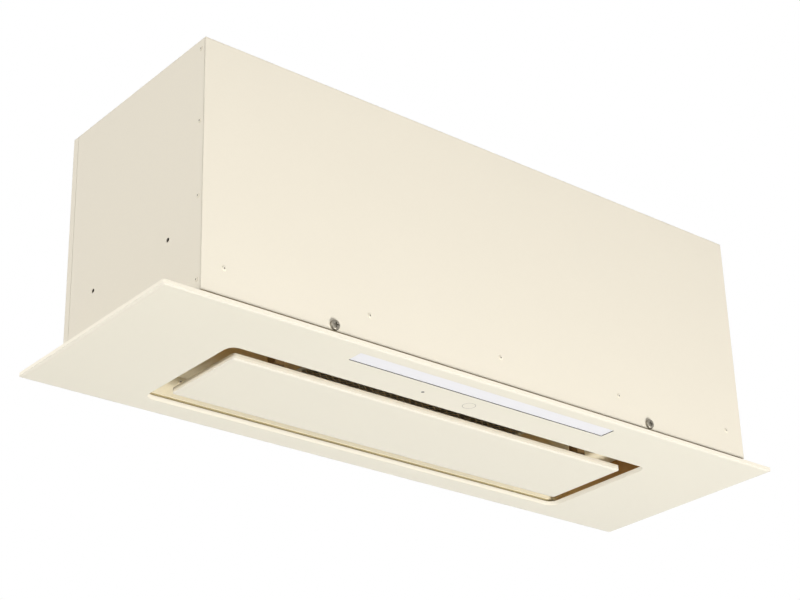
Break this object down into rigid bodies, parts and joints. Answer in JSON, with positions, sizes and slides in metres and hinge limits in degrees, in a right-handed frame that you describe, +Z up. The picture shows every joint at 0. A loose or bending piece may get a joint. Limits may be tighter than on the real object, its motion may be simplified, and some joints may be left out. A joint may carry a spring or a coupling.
{
  "type": "ceiling range hood",
  "caption": "Built-in ceiling hood: steel box over a glass flange with a light strip, a hinged suction panel in an air slot, a grease filter and a round outlet with a damper.",
  "frame": {"origin": "middle of the plane on which the glass flange meets the underside of the cabinet or ceiling (the flange's upper face, in the middle of its plan)", "axes": "+X along the long side to the right as seen from the front, +Y to the back, +Z up, out of the outlet"},
  "size_m": [0.9, 0.286, 0.347],
  "materials": {
    "cream_glass": "satin back-painted glass",
    "cream_paint": "smooth satin powder coat",
    "recess_steel": "satin powder coat, warmer than the outside",
    "zinc_steel": "bright zinc",
    "foam": "matt closed-cell foam",
    "pale_tape": "pale foam tape",
    "light_diffuser": "frosted opal",
    "key_print": "printed line",
    "circuit": "solder resist",
    "brown_plastic": "moulded, the catches' housings",
    "copper": "varnished windings",
    "white_plastic": "moulded",
    "filter_aluminium": "expanded and rolled",
    "spring_steel": "drawn wire",
    "blower_plastic": "moulded",
    "wheel_plastic": "moulded",
    "galvanised_steel": "galvanised",
    "motor_iron": "laminated stack",
    "ground_steel": "ground",
    "black_plastic": "moulded",
    "cable_sheath": "soft sheath",
    "capacitor_case": "moulded"
  },
  "bodies": {
    "hood": {"glass_panel": "cream_glass", "bonding_tape": "pale_tape", "cabinet_seal": "foam", "light_window": "light_diffuser", "light_channel": "white_plastic", "light_board": "white_plastic", "key_ring": "key_print", "sensor_lens": "black_plastic", "key_board": "circuit", "carrier_frame": "recess_steel", "recess_tray": "recess_steel", "front_panel": "cream_paint", "left_side_panel": "cream_paint", "right_side_panel": "cream_paint", "rear_panel": "cream_paint", "top_panel": "cream_paint", "tray_rivets": "cream_paint", "corner_rivets": "cream_paint", "top_rivets": "cream_paint", "carrier_screws": "zinc_steel", "carrier_nuts": "zinc_steel", "hinge_brackets": "galvanised_steel", "hinge_pins": "ground_steel", "bracket_screws": "zinc_steel", "magnetic_catches": "brown_plastic", "filter_frame": "filter_aluminium", "filter_mesh": "filter_aluminium", "latch_spring": "spring_steel", "volute_left": "blower_plastic", "volute_right": "blower_plastic", "inlet_ring_left": "blower_plastic", "inlet_ring_right": "blower_plastic", "motor_stator": "motor_iron", "motor_windings": "copper", "motor_case": "galvanised_steel", "motor_bearings": "ground_steel", "motor_bracket": "galvanised_steel", "blower_screws": "zinc_steel", "control_box": "galvanised_steel", "control_lid": "galvanised_steel", "circuit_board": "circuit", "terminal_block": "white_plastic", "cable_gland": "black_plastic", "light_driver": "white_plastic", "run_capacitor": "capacitor_case", "motor_lead": "cable_sheath", "light_lead": "cable_sheath", "outlet_collar": "black_plastic", "damper_pin": "ground_steel", "collar_screws": "zinc_steel"},
    "panel": {"suction_glass": "cream_glass", "panel_tray": "cream_paint", "catch_plates": "galvanised_steel", "hinge_arms": "galvanised_steel"},
    "latch": {"filter_latch": "black_plastic"},
    "wheel": {"impeller": "wheel_plastic", "motor_shaft": "ground_steel", "motor_rotor": "motor_iron"},
    "front_flap": {"damper_flap_front": "black_plastic"},
    "rear_flap": {"damper_flap_rear": "black_plastic"}
  },
  "joints": [
    {"name": "panel_hinge", "type": "hinge", "parent": "hood", "child": "panel", "pos_m": [0, 0.088, 0.009], "axis": [1, 0, 0], "range_deg": [0, 90]},
    {"name": "latch_slide", "type": "slide", "parent": "hood", "child": "latch", "axis": [0, 1, 0], "range_m": [0, 0.008], "stiffness_N_per_m": 400, "springref_m": -0.002, "deforming": ["latch_spring"]},
    {"name": "wheel_spin", "type": "hinge", "parent": "hood", "child": "wheel", "pos_m": [0, -0.036, 0.156], "axis": [1, 0, 0], "continuous": true},
    {"name": "front_flap_swing", "type": "hinge", "parent": "hood", "child": "front_flap", "pos_m": [0, 0.005, 0.313], "axis": [-1, 0, 0], "range_deg": [0, 80]},
    {"name": "rear_flap_swing", "type": "hinge", "parent": "hood", "child": "rear_flap", "pos_m": [0, 0.005, 0.313], "axis": [1, 0, 0], "range_deg": [0, 80]}
  ]
}
